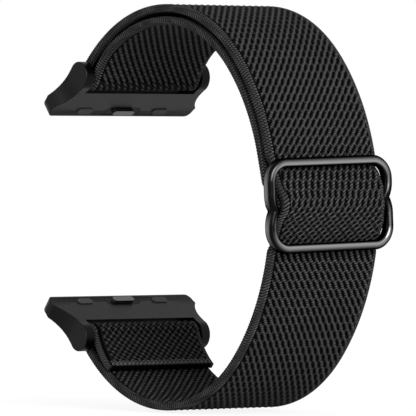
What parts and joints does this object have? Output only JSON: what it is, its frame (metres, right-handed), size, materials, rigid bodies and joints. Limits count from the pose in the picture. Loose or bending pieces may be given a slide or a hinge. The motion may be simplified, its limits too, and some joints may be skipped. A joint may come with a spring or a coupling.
{
  "type": "elastic watch band",
  "caption": "Elastic woven watch band: one webbing loop with a sliding double window buckle and two pivoting lug connectors with sprung latches.",
  "frame": {"origin": "centre of the wrist opening, half way between the upper and lower arcs of the loop", "axes": "+X across the webbing, +Y from the buckle towards the gap that the watch fills, +Z towards the upper connector"},
  "size_m": [0.032, 0.0656, 0.072],
  "materials": {
    "webbing": "ribbed woven stretch webbing, charcoal",
    "thread": "sewing thread",
    "buckle": "glossy gunmetal plating",
    "connector": "satin dark plating",
    "steel": "satin",
    "bumper": "matte"
  },
  "bodies": {
    "strap": {"webbing_upper_run": "webbing", "webbing_lower_run": "webbing", "return_run": "webbing", "webbing_above_buckle": "webbing", "webbing_below_buckle": "webbing", "return_above_buckle": "webbing", "return_near_buckle": "webbing", "webbing_upper_bend": "webbing", "return_bend": "webbing", "webbing_lower_bend": "webbing"},
    "buckle": {"buckle_frame": "buckle", "buckle_middle_bar": "buckle", "webbing_crossing": "webbing", "return_sewn_end": "webbing", "sewn_end_stitching": "thread"},
    "upper_strap_end": {"webbing_upper_end": "webbing", "webbing_upper_turn": "webbing", "return_upper_closing": "webbing", "return_upper_end": "webbing"},
    "lower_strap_end": {"webbing_lower_end": "webbing", "webbing_lower_turn": "webbing", "fold_back_flap": "webbing", "flap_hem": "webbing", "hem_stitching": "thread"},
    "upper_connector": {"upper_connector_body": "connector", "upper_loop_bar": "steel", "upper_latch_spring": "steel", "upper_latch_cover": "connector", "upper_side_bumpers": "bumper"},
    "upper_latch": {"upper_latch_button": "steel"},
    "lower_connector": {"lower_connector_body": "connector", "lower_loop_bar": "steel", "lower_latch_spring": "steel", "lower_latch_cover": "connector", "lower_side_bumpers": "bumper"},
    "lower_latch": {"lower_latch_button": "steel"}
  },
  "joints": [
    {"name": "buckle_slide", "type": "hinge", "parent": "strap", "child": "buckle", "pos_m": [0, 0.00649, 0], "axis": [-1, 0, 0], "range_deg": [-8, 14], "deforming": ["webbing_above_buckle", "webbing_below_buckle", "return_above_buckle", "return_near_buckle"]},
    {"name": "upper_flex", "type": "hinge", "parent": "strap", "child": "upper_strap_end", "pos_m": [0, 0.0016, 0.03411], "axis": [1, 0, 0], "range_deg": [-12, 30], "stiffness_Nm_per_rad": 0.06, "deforming": ["webbing_upper_bend", "return_bend"]},
    {"name": "lower_flex", "type": "hinge", "parent": "strap", "child": "lower_strap_end", "pos_m": [0, 0.00166, -0.03521], "axis": [-1, 0, 0], "range_deg": [-12, 30], "stiffness_Nm_per_rad": 0.06, "deforming": ["webbing_lower_bend"]},
    {"name": "upper_connector_pivot", "type": "hinge", "parent": "upper_strap_end", "child": "upper_connector", "pos_m": [0, 0.02229, 0.02346], "axis": [1, 0, 0], "range_deg": [-40, 40]},
    {"name": "lower_connector_pivot", "type": "hinge", "parent": "lower_strap_end", "child": "lower_connector", "pos_m": [0, 0.02229, -0.02346], "axis": [-1, 0, 0], "range_deg": [-40, 40]},
    {"name": "upper_latch_press", "type": "slide", "parent": "upper_connector", "child": "upper_latch", "axis": [0, 0.628, 0.7782], "range_m": [0, 0.0006], "stiffness_N_per_m": 300, "springref_m": -0.0003, "deforming": ["upper_latch_spring"]},
    {"name": "lower_latch_press", "type": "slide", "parent": "lower_connector", "child": "lower_latch", "axis": [0, 0.628, -0.7782], "range_m": [0, 0.0006], "stiffness_N_per_m": 300, "springref_m": -0.0003, "deforming": ["lower_latch_spring"]}
  ]
}
